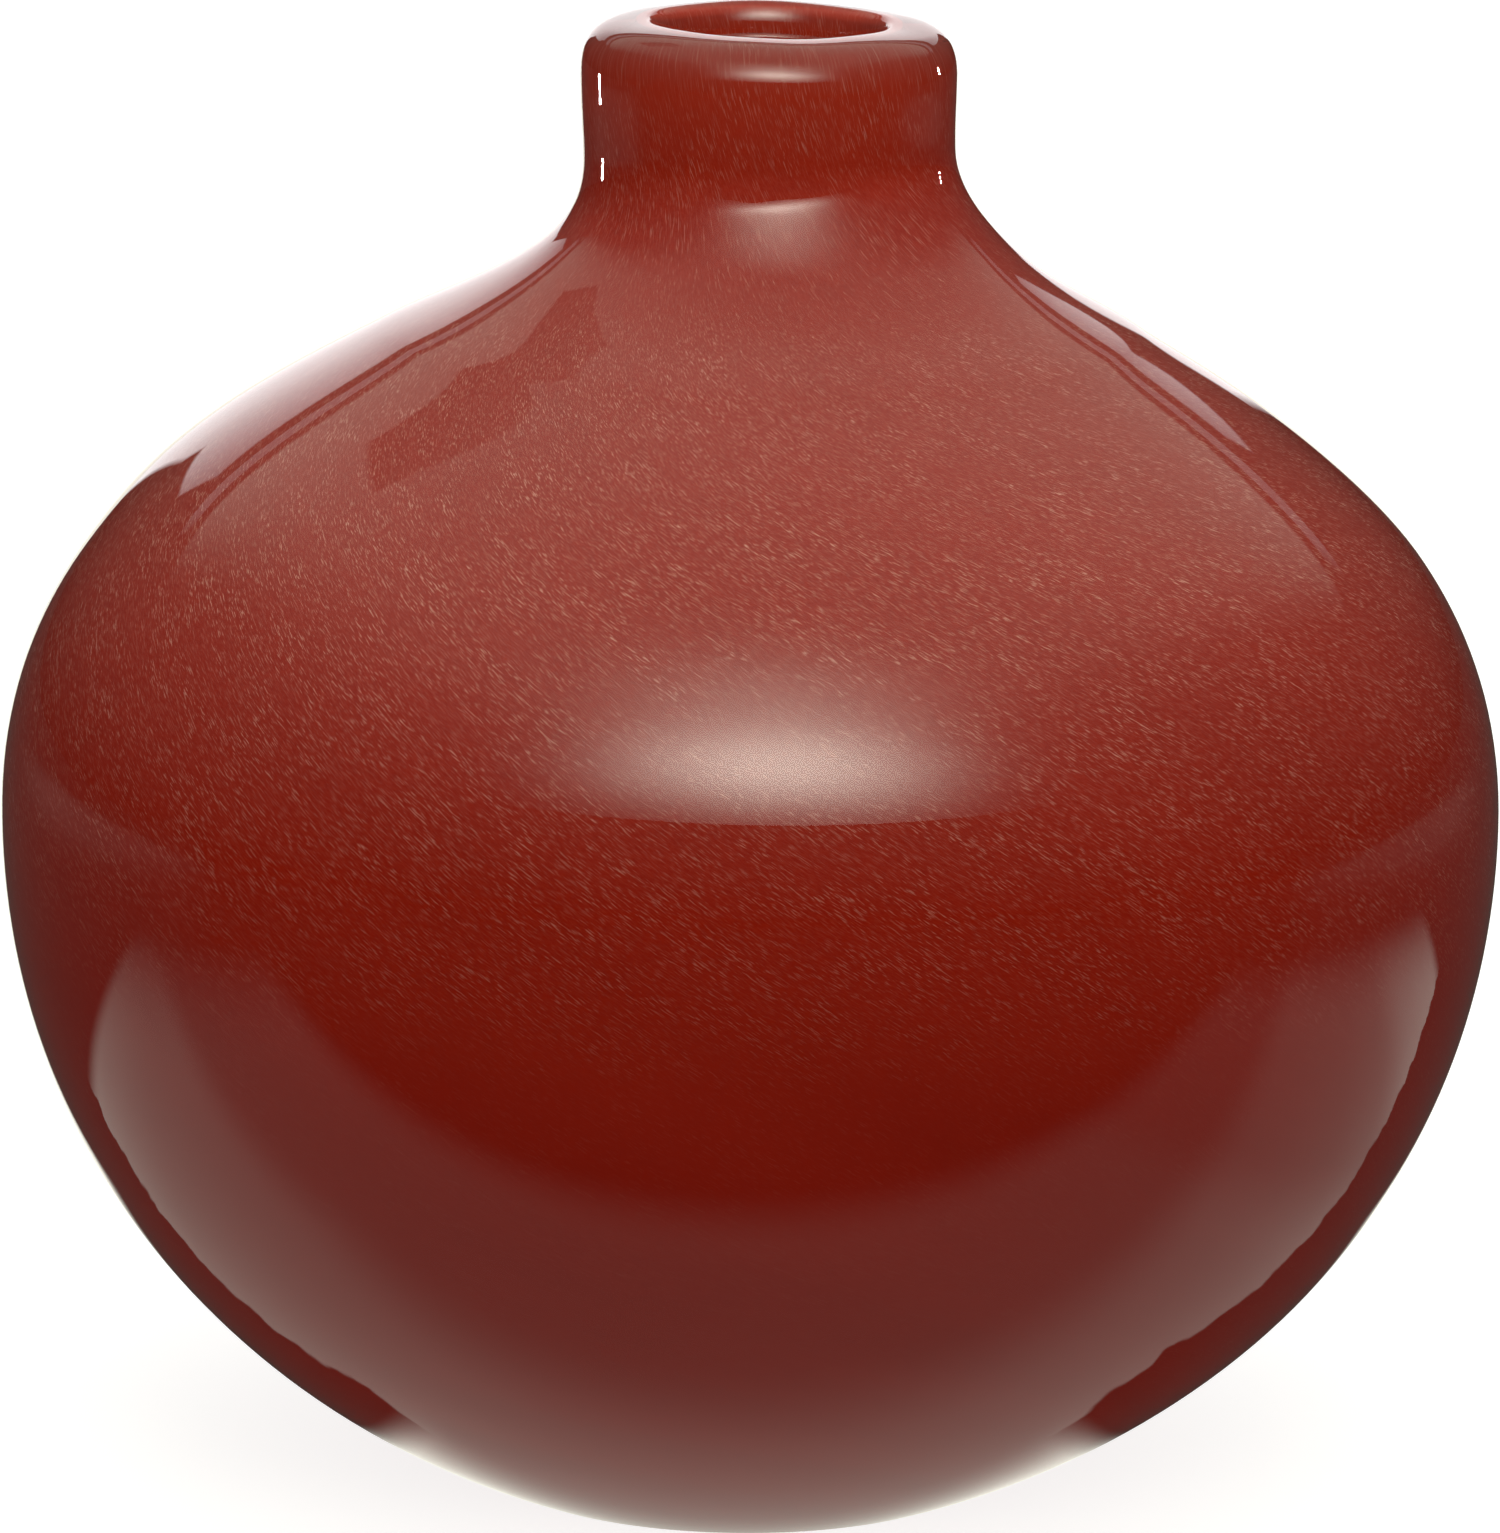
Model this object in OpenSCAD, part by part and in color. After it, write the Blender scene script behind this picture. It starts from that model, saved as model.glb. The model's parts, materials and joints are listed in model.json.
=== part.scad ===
// A squat, hand-blown vase of cased glass: a thin clear inner gather, a layer of
// opaque red glass over it, and a heavy clear casing over both.
// Every piece is a body of revolution about Z. The ground foot stands on Z = 0.

/* [Body] */
// Height from the ground foot to the crown of the lip
height = 197; // [185:1:230]
// Diameter at the widest part of the belly
belly_d = 200; // [170:1:240]
// Height of the widest part of the belly
belly_z = 91.5; // [80:0.5:105]
// How far the belly runs near upright below its widest part
belly_low_pull = 42; // [25:0.5:60]
// How far the belly runs near upright above its widest part
belly_high_pull = 41; // [25:0.5:55]

/* [Foot] */
// Diameter of the flat ground foot
foot_d = 67.5; // [40:0.5:90]
// Angle at which the wall leaves the foot, from the horizontal
foot_slope = 21; // [10:0.5:40]
// How far the wall keeps that angle
foot_pull = 44; // [20:0.5:55]
// Diameter of the polished hollow in the middle of the foot
pontil_d = 26; // [10:0.5:36]
// Depth of that hollow
pontil_depth = 1.2; // [0.4:0.1:3]

/* [Shoulder] */
// Diameter at the straight stretch of the shoulder
shoulder_d = 102; // [85:0.5:125]
// Height of that stretch
shoulder_z = 155.8; // [145:0.1:162]
// Slope of that stretch, from the horizontal
shoulder_slope = 31.5; // [25:0.5:42]
// How far the shoulder keeps its slope on the way down to the belly
shoulder_low_pull = 14.5; // [5:0.5:30]
// How far the shoulder keeps its slope on the way up to the neck
shoulder_high_pull = 9.5; // [4:0.5:20]

/* [Neck and lip] */
// Diameter at the waist of the neck
neck_d = 49.2; // [44:0.1:60]
// Depth of that waist below the crown of the lip
waist_depth = 17; // [14:0.5:22]
// How far the neck runs near upright below its waist
neck_pull = 14; // [4:0.5:18]
// Diameter of the lip where it bulges
lip_d = 49.7; // [44:0.1:60]
// Height of the lip above its widest point
lip_crown_h = 7; // [4:0.5:12]
// How full the lip's rounding is, from a flat slope at 0 to a square corner at 1
lip_fullness = 0.72; // [0.45:0.01:0.8]
// Diameter of the ring along the crown of the lip
crown_d = 33; // [31:0.5:42]
// Diameter of the straight bore in the neck
mouth_d = 29; // [20:0.5:30]
// Depth of the rounding from the crown down into the mouth
mouth_round = 4; // [2:0.5:8]

/* [Glass layers] */
// Thickness of the clear casing at the belly
casing_t = 4; // [2:0.25:8]
// Thickness of the red layer
colour_t = 1.5; // [0.75:0.25:3]
// Thickness of the clear inner gather
lining_t = 1.5; // [0.75:0.25:3]
// Thickness of the whole floor at the axis
floor_t = 17; // [10:0.5:24]
// How far the floor of the hollow runs near level from the axis
floor_pull = 66; // [30:1:75]
// Depth of the clear glass over the top edge of the red layer
colour_cover = 1; // [0.8:0.1:3.5]

/* [Hidden] */
$fn = 96;

belly_r = belly_d / 2;
foot_r = foot_d / 2;
pontil_r = pontil_d / 2;
shoulder_r = shoulder_d / 2;
neck_r = neck_d / 2;
lip_r = lip_d / 2;
crown_r = crown_d / 2;
mouth_r = mouth_d / 2;

neck_z = height - waist_depth;
lip_z = height - lip_crown_h;
mouth_z = height - mouth_round;
colour_top = height - colour_cover;

// Radii of the two joints between the layers where they stand in the neck
colour_inner_r = mouth_r + lining_t;
colour_outer_r = colour_inner_r + colour_t;

// Straight steps in each long curve and in each small rounding
curve_steps = 28;
round_steps = 12;

// Points of a cubic curve, without its first point
function curve(a, b, c, d, steps) = [
    for (i = [1:steps])
        let (t = i / steps, s = 1 - t)
            s * s * s * a + 3 * s * s * t * b + 3 * s * t * t * c + t * t * t * d
];

// Points of a quarter of an ellipse about a centre, without its first point
function quarter(centre, reach, from, to) = [
    for (i = [1:round_steps])
        let (angle = from + (to - from) * i / round_steps)
            centre + [reach.x * cos(angle), reach.y * sin(angle)]
];

function backwards(points) = [for (i = [len(points) - 1:-1:0]) points[i]];

// A step of a given length up the slope of the foot or the shoulder
function rise(length, slope) = length * [cos(slope), sin(slope)];

// From the belly over the shoulder to the neck, at a depth below the outer surface
function shoulder_line(depth, r_neck) =
    let (
        belly = [belly_r - depth, belly_z],
        middle = [shoulder_r, shoulder_z] - depth * [sin(shoulder_slope), cos(shoulder_slope)],
        low = rise(shoulder_low_pull, -shoulder_slope),
        high = rise(shoulder_high_pull, -shoulder_slope),
        neck = [r_neck, neck_z]
    ) concat(
        curve(belly, belly + [0, belly_high_pull], middle + low, middle, curve_steps),
        curve(middle, middle - high, neck - [0, neck_pull], neck, curve_steps)
    );

// A face inside the glass, from the axis at the floor to the waist of the neck
function layer_line(depth, r_neck, z_floor) =
    let (axis = [0, z_floor], belly = [belly_r - depth, belly_z]) concat(
        [axis],
        curve(axis, axis + [floor_pull, 0], belly - [0, belly_low_pull], belly, curve_steps),
        shoulder_line(depth, r_neck)
    );

// The outside of the vase, from the edge of the foot to the waist of the neck
function outer_line() =
    let (foot = [foot_r, 0], belly = [belly_r, belly_z]) concat(
        [foot],
        curve(foot, foot + rise(foot_pull, foot_slope), belly - [0, belly_low_pull], belly, curve_steps),
        shoulder_line(0, neck_r)
    );

// The rest of the outside: up the neck, round the lip and into the mouth
function lip_line() =
    let (
        waist = [neck_r, neck_z],
        bulge = [lip_r, lip_z],
        crown = [crown_r, height],
        third = [0, (lip_z - neck_z) / 3],
        up = [0, lip_fullness * lip_crown_h],
        out = [lip_fullness * (lip_r - crown_r), 0]
    ) concat(
        curve(waist, waist + third, bulge - third, bulge, round_steps),
        curve(bulge, bulge + up, crown + out, crown, round_steps),
        quarter([crown_r, mouth_z], [crown_r - mouth_r, mouth_round], 90, 180)
    );

// The polished hollow under the foot, a shallow part of a sphere, from the axis outwards
function pontil_line() =
    let (ball_r = (pontil_r * pontil_r + pontil_depth * pontil_depth) / (2 * pontil_depth)) [
        for (i = [0:round_steps])
            let (r = pontil_r * i / round_steps)
                [r, sqrt(ball_r * ball_r - r * r) - ball_r + pontil_depth]
    ];

// The two joints between the layers, and the wall of the hollow
function casing_joint() = layer_line(casing_t, colour_outer_r, floor_t - lining_t - colour_t);
function lining_joint() = layer_line(casing_t + colour_t, colour_inner_r, floor_t - lining_t);
function hollow_line() = layer_line(casing_t + colour_t + lining_t, mouth_r, floor_t);

// The heavy clear gather outside, which also closes over the top of the red layer
module outer_casing() {
    top_of_red = [
        [colour_inner_r, mouth_z],
        [colour_inner_r, colour_top],
        [colour_outer_r, colour_top]
    ];
    color("mistyrose", 0.35)
        rotate_extrude()
            polygon(concat(pontil_line(), outer_line(), lip_line(), top_of_red, backwards(casing_joint())));
}

// The opaque red glass between the two clear gathers
module colour_layer() {
    top_edge = [
        [colour_outer_r, colour_top],
        [colour_inner_r, colour_top]
    ];
    color("firebrick")
        rotate_extrude()
            polygon(concat(casing_joint(), top_edge, backwards(lining_joint())));
}

// The thin clear gather that lines the hollow and the bore
module inner_gather() {
    top_edge = [
        [colour_inner_r, mouth_z],
        [mouth_r, mouth_z]
    ];
    color("mistyrose", 0.35)
        rotate_extrude()
            polygon(concat(lining_joint(), top_edge, backwards(hollow_line())));
}

outer_casing();
colour_layer();
inner_gather();
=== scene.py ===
"""A hand-blown vase of cased glass: opaque red glass between a clear lining and a heavy clear casing."""

import json
import math

import bmesh
import bpy
from mathutils import Matrix, Vector, noise


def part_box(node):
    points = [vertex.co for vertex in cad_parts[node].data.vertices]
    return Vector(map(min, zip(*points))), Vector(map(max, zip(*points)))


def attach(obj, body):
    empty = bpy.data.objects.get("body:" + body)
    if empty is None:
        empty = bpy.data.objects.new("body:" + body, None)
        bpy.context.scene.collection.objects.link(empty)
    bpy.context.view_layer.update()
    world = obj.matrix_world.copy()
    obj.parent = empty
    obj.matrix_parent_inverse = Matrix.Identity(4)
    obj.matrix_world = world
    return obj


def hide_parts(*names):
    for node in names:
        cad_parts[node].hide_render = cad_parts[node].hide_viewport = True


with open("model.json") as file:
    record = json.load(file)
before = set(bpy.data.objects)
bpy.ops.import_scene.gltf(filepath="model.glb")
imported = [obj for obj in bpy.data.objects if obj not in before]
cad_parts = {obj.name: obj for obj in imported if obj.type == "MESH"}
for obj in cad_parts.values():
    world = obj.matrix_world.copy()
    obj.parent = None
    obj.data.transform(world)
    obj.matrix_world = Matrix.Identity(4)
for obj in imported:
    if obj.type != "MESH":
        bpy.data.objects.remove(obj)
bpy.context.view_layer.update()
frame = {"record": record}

MM = 0.001

# Sizes of the vase in metres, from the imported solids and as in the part's source
casing_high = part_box("outer_casing")[1]
red_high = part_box("colour_layer")[1]
mouth_mount = next(m for m in frame["record"]["mounts"] if m["name"] == "mouth")
HEIGHT = casing_high.z
BELLY_R = casing_high.x
COLOUR_TOP = red_high.z
CASING_T = casing_high.x - red_high.x
MOUTH_R = mouth_mount["dims"]["r_mm"] * MM
BELLY_Z = 91.5 * MM
BELLY_LOW_PULL = 42 * MM
BELLY_HIGH_PULL = 41 * MM
FOOT_R = 33.75 * MM
FOOT_SLOPE = math.radians(21)
FOOT_PULL = 44 * MM
PONTIL_R = 13 * MM
PONTIL_DEPTH = 1.2 * MM
SHOULDER = Vector((51, 155.8)) * MM
SHOULDER_SLOPE = math.radians(31.5)
SHOULDER_LOW_PULL = 14.5 * MM
SHOULDER_HIGH_PULL = 9.5 * MM
NECK_R = 24.6 * MM
WAIST_DEPTH = 17 * MM
NECK_PULL = 14 * MM
LIP_R = 24.85 * MM
LIP_CROWN_H = 7 * MM
LIP_FULLNESS = 0.72
CROWN_R = 16.5 * MM
MOUTH_ROUND = 4 * MM
COLOUR_T = 1.5 * MM
LINING_T = 1.5 * MM
FLOOR_T = 17 * MM
FLOOR_PULL = 66 * MM

NECK_Z = HEIGHT - WAIST_DEPTH
LIP_Z = HEIGHT - LIP_CROWN_H
MOUTH_Z = HEIGHT - MOUTH_ROUND
COLOUR_INNER_R = MOUTH_R + LINING_T
COLOUR_OUTER_R = COLOUR_INNER_R + COLOUR_T

# The clear layers reach this far into the red one, so that no two faces coincide
FUSED = 0.08 * MM

# How fine the blown forms are drawn: steps round the axis, and in each long curve and each small rounding
AROUND = 208
LONG_STEPS = 52
SHORT_STEPS = 18
# A point of a line that is nearer to the axis than this lies on it
ON_AXIS = 1e-7


def curve(a, b, c, d, steps):
    """Points of a cubic curve, without its first point."""
    points = []
    for i in range(1, steps + 1):
        t = i / steps
        s = 1 - t
        points.append(s * s * s * a + 3 * s * s * t * b + 3 * s * t * t * c + t * t * t * d)
    return points


def quarter(centre, reach_r, reach_z, start, end):
    """Points of a quarter of an ellipse about a centre, without its first point."""
    points = []
    for i in range(1, SHORT_STEPS + 1):
        angle = math.radians(start + (end - start) * i / SHORT_STEPS)
        points.append(centre + Vector((reach_r * math.cos(angle), reach_z * math.sin(angle))))
    return points


def shoulder_line(depth, r_neck):
    """From the belly over the shoulder to the waist of the neck, at a depth below the outside."""
    along = Vector((math.cos(SHOULDER_SLOPE), -math.sin(SHOULDER_SLOPE)))
    belly = Vector((BELLY_R - depth, BELLY_Z))
    middle = SHOULDER - depth * Vector((math.sin(SHOULDER_SLOPE), math.cos(SHOULDER_SLOPE)))
    neck = Vector((r_neck, NECK_Z))
    up = Vector((0, BELLY_HIGH_PULL))
    down = Vector((0, NECK_PULL))
    return (
        curve(belly, belly + up, middle + SHOULDER_LOW_PULL * along, middle, LONG_STEPS)
        + curve(middle, middle - SHOULDER_HIGH_PULL * along, neck - down, neck, LONG_STEPS)
    )


def layer_line(depth, r_neck, z_floor):
    """A face inside the glass, from the axis at the floor to the waist of the neck."""
    axis = Vector((0, z_floor))
    belly = Vector((BELLY_R - depth, BELLY_Z))
    level = Vector((FLOOR_PULL, 0))
    low = Vector((0, BELLY_LOW_PULL))
    return [axis] + curve(axis, axis + level, belly - low, belly, LONG_STEPS) + shoulder_line(depth, r_neck)


def outer_line():
    """The outside, from the axis under the foot round the lip to the start of the bore."""
    ball_r = (PONTIL_R**2 + PONTIL_DEPTH**2) / (2 * PONTIL_DEPTH)
    line = []
    for i in range(SHORT_STEPS + 1):
        r = PONTIL_R * i / SHORT_STEPS
        line.append(Vector((r, math.sqrt(ball_r**2 - r**2) - ball_r + PONTIL_DEPTH)))
    foot = Vector((FOOT_R, 0))
    belly = Vector((BELLY_R, BELLY_Z))
    leave = FOOT_PULL * Vector((math.cos(FOOT_SLOPE), math.sin(FOOT_SLOPE)))
    low = Vector((0, BELLY_LOW_PULL))
    waist = Vector((NECK_R, NECK_Z))
    bulge = Vector((LIP_R, LIP_Z))
    crown = Vector((CROWN_R, HEIGHT))
    third = Vector((0, (LIP_Z - NECK_Z) / 3))
    up = Vector((0, LIP_FULLNESS * LIP_CROWN_H))
    out = Vector((LIP_FULLNESS * (LIP_R - CROWN_R), 0))
    return (
        line
        + [foot]
        + curve(foot, foot + leave, belly - low, belly, LONG_STEPS)
        + shoulder_line(0, NECK_R)
        + curve(waist, waist + third, bulge - third, bulge, SHORT_STEPS)
        + curve(bulge, bulge + up, crown + out, crown, SHORT_STEPS)
        + quarter(Vector((CROWN_R, MOUTH_Z)), CROWN_R - MOUTH_R, MOUTH_ROUND, 90, 180)
    )


def stretch(start, end, steps):
    """Evenly spaced points on a straight line, without its first point."""
    return [start.lerp(end, i / steps) for i in range(1, steps + 1)]


# Where the maker's hand left the form off the axis: height and sideways shift in millimetres
LEAN = (
    (0, -0.5), (30, 0), (126, 0), (140, -0.6), (153, 0.3), (161, 1.7), (169, 2.75), (180, 1.6), (198, 1.4),
)
# How far the blown wall wanders in and out, over what distance, and where its pattern starts
WALL_WANDER, WANDER_SIZE, WANDER_START = 0.3 * MM, 70 * MM, Vector((3.1, 7.7, 1.9))
# The ground foot is true: up to this height, and over this much more the wall starts to wander
FOOT_TRUE, FOOT_GIVES = 4 * MM, 20 * MM
# How far the lip rises and falls round its ring, how often, and where its pattern starts
LIP_WANDER, LIP_WAVES, LIP_START = 0.3 * MM, 1.3, Vector((9.2, 0.4, 5.5))
# How much of that its right side droops, and how much higher its back is than its axis
LIP_DROOP, LIP_TILT = 0.5, 0.55 * MM
# The crease that the jacks pressed into the front of the neck: its height, how much it climbs to the right
# for each radian, its depth, how far it reaches up and down, and its half width in radians
CREASE_Z, CREASE_CLIMB, CREASE_DEPTH = 175.7 * MM, 2.4 * MM, 0.27 * MM
CREASE_UP, CREASE_DOWN, CREASE_HALF = 3 * MM, 18 * MM, 0.45
# How far the front of the neck's base sank while it was hot: depth, height, and reach upwards and downwards
SAG, SAG_Z, SAG_UP, SAG_DOWN = 1.7 * MM, 168 * MM, 4.4 * MM, 40 * MM
# The glass that came to the front there: how far it stands out, at what height, and its reach
FULL, FULL_Z, FULL_REACH = 1.6 * MM, 167 * MM, 7.6 * MM
# Half the width of that front in radians
FRONT_HALF = 0.92


def lean(z):
    """Sideways shift of the ring at height z, along a smooth line through the listed heights."""
    last = len(LEAN) - 1
    k = next((i for i in range(last) if z / MM <= LEAN[i + 1][0]), last - 1)
    (low, before), (high, after) = LEAN[k], LEAN[k + 1]
    earlier, later = LEAN[max(k - 1, 0)], LEAN[min(k + 2, last)]
    span = high - low
    t = min(max((z / MM - low) / span, 0), 1)
    leave = (after - earlier[1]) / (high - earlier[0]) * span
    arrive = (later[1] - before) / (later[0] - low) * span
    bend = (2 * before - 2 * after + leave + arrive) * t + 3 * (after - before) - 2 * leave - arrive
    return (before + (leave + bend * t) * t) * MM


def blown(place):
    """Where a point of the true round form lies in hot-worked glass, which is never quite true."""
    r = math.hypot(place.x, place.y)
    outward = Vector((place.x / r, place.y / r, 0))
    lift = min(max((place.z - FOOT_TRUE) / FOOT_GIVES, 0), 1)
    swell = WALL_WANDER * noise.noise(place / WANDER_SIZE + WANDER_START) * lift
    moved = place + outward * swell
    moved.x += lean(place.z)
    turn = math.atan2(place.x, -place.y)
    over = place.z - CREASE_Z - CREASE_CLIMB * turn
    pressed = max(1 - over / CREASE_UP, 0) ** 2 if over > 0 else max(1 + over / CREASE_DOWN, 0) ** 3
    moved -= outward * CREASE_DEPTH * pressed * math.exp(-((turn / CREASE_HALF) ** 2))
    front = math.exp(-((turn / FRONT_HALF) ** 4))
    reach = SAG_UP if place.z > SAG_Z else SAG_DOWN
    moved.z -= SAG * front * math.exp(-(((place.z - SAG_Z) / reach) ** 2))
    moved += outward * FULL * front * math.exp(-(((place.z - FULL_Z) / FULL_REACH) ** 2))
    lip = min(max((place.z - NECK_Z) / (HEIGHT - NECK_Z), 0), 1)
    wave = noise.noise(outward * LIP_WAVES + LIP_START) - LIP_DROOP * outward.x
    moved.z += lip * (LIP_WANDER * wave + LIP_TILT * place.y / CROWN_R)
    return moved


def turned(name, line, material, sharp=()):
    """A closed body that the line draws as it turns once about the axis. Its ends lie on the axis."""
    shape = bmesh.new()
    rings = []
    for point in line:
        if point.x < ON_AXIS:
            rings.append([shape.verts.new((0, 0, point.y))])
            continue
        ring = []
        for i in range(AROUND):
            angle = 2 * math.pi * i / AROUND
            place = Vector((point.x * math.cos(angle), point.x * math.sin(angle), point.y))
            ring.append(shape.verts.new(blown(place)))
        rings.append(ring)
    for lower, upper in zip(rings, rings[1:]):
        for i in range(AROUND):
            j = (i + 1) % AROUND
            if len(lower) == 1:
                shape.faces.new((lower[0], upper[j], upper[i]))
            elif len(upper) == 1:
                shape.faces.new((lower[i], lower[j], upper[0]))
            else:
                shape.faces.new((lower[i], lower[j], upper[j], upper[i]))
    for face in shape.faces:
        face.smooth = True
    shape.edges.ensure_lookup_table()
    for index in sharp:
        ring = rings[index]
        for i in range(AROUND):
            shape.edges.get((ring[i], ring[(i + 1) % AROUND])).smooth = False
    bmesh.ops.recalc_face_normals(shape, faces=shape.faces)
    mesh = bpy.data.meshes.new(name)
    shape.to_mesh(mesh)
    shape.free()
    piece = bpy.data.objects.new(name, mesh)
    bpy.context.collection.objects.link(piece)
    mesh.materials.append(material)
    return piece


# The maker turned the red gather while it was worked: radians of twist for each metre along the wall, and how
# many times more of it there is at the foot, below the height where it starts to grow
TWIST, FOOT_TWIST, TWIST_GROWS = 14.8, 3.5, 65 * MM


def lay_twist(piece, line):
    """Stores for each point its direction about the axis without the twist, and its way along the wall."""
    run = turn = 0.0
    values = []
    for before, point in zip(line[:1] + line, line):
        step = (point - before).length
        low = max(1 - point.y / TWIST_GROWS, 0)
        run -= step
        turn += TWIST * (1 + (FOOT_TWIST - 1) * low) * step
        if point.x < ON_AXIS:
            values += [0, 0, run]
            continue
        for i in range(AROUND):
            angle = 2 * math.pi * i / AROUND + turn
            values += [math.cos(angle), math.sin(angle), run]
    twist = piece.data.attributes.new("twist", "FLOAT_VECTOR", "POINT")
    twist.data.foreach_set("vector", values)


def colour(text):
    """A linear colour from an sRGB hex value."""
    parts = [int(text[i : i + 2], 16) / 255 for i in (1, 3, 5)]
    return tuple(c / 12.92 if c <= 0.04045 else ((c + 0.055) / 1.055) ** 2.4 for c in parts) + (1.0,)


def add(tree, kind, inputs=None, **settings):
    """Adds one node. Inputs maps each socket to a value, or to the output or the node that feeds it."""
    node = tree.nodes.new("ShaderNode" + kind)
    for name, value in settings.items():
        setattr(node, name, value)
    for socket, value in (inputs or {}).items():
        if isinstance(value, bpy.types.Node):
            value = value.outputs[0]
        if isinstance(value, bpy.types.NodeSocket):
            tree.links.new(value, node.inputs[socket])
        else:
            node.inputs[socket].default_value = value
    return node


def new_material(name):
    """An empty node material and its tree."""
    material = bpy.data.materials.new(name)
    material.use_nodes = True
    material.node_tree.nodes.clear()
    return material, material.node_tree


def clear_glass():
    """Fire-polished clear glass: a smooth bright skin, and the red below drawn out to the edge."""
    material, tree = new_material("clear_fire_polished_glass")
    glass = add(tree, "BsdfPrincipled", {
        "Base Color": colour("#FDFBFA"), "Roughness": 0.0, "IOR": 1.6, "Transmission Weight": 1.0,
    })
    # Light for the red layer goes straight in, since it can't be traced back through curved glass
    through = add(tree, "BsdfTransparent", {"Color": (1, 1, 1, 1)})
    path = add(tree, "LightPath")
    rays = {0: path.outputs["Is Shadow Ray"], 1: path.outputs["Is Diffuse Ray"]}
    lit = add(tree, "Math", rays, operation="MAXIMUM")
    mixed = add(tree, "MixShader", {0: lit, 1: glass, 2: through})
    add(tree, "OutputMaterial", {"Surface": mixed})
    return material


# Radius of the form that each set of flecks is laid round, and the heights between which the body's set ends
BODY_FLECKS_R, NECK_FLECKS_R = 75 * MM, 27 * MM
FLECKS_CHANGE = (156 * MM, 170 * MM)
# One wave of each pattern: its size across the twist, then along it on the body and on the neck, and how
# finely it is broken up. The real grain and threads are finer, and are drawn coarse enough to show.
CLOUDS = (28 * MM, 45 * MM, 30 * MM, 3.0)
GRAIN = (0.3 * MM, 0.35 * MM, 0.5 * MM, 2.0)
BLOTCHES = (4 * MM, 5 * MM, 6 * MM, 2.0)
THREADS = (0.2 * MM, 0.8 * MM, 1.8 * MM, 1.0)
# Where in its pattern each of these starts to show and is full, and how much of it there is at most or least
POWDER_SHOWS, POWDER_MOST = (0.35, 0.75), 0.6
BRIGHT_SHOWS, BRIGHT_MOST = (0.59, 0.69), 0.68
FAINT_SHOWS, FAINT_MOST = (0.46, 0.64), 0.09
BLOTCH_SHOWS, BLOTCH_LEAST = (0.35, 0.65), 0.15
# Heights between which the pale powder grows from thin to thick, and its share where it is thin
POWDER_THICK, POWDER_THIN = (75 * MM, 130 * MM), 0.06
# The share of the flecks that the neck has, and the heights over which painted light makes its ground paler
# towards the lip
NECK_SHARE, NECK_PAINTED_LIGHT = 0.4, (172 * MM, 190 * MM)


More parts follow.
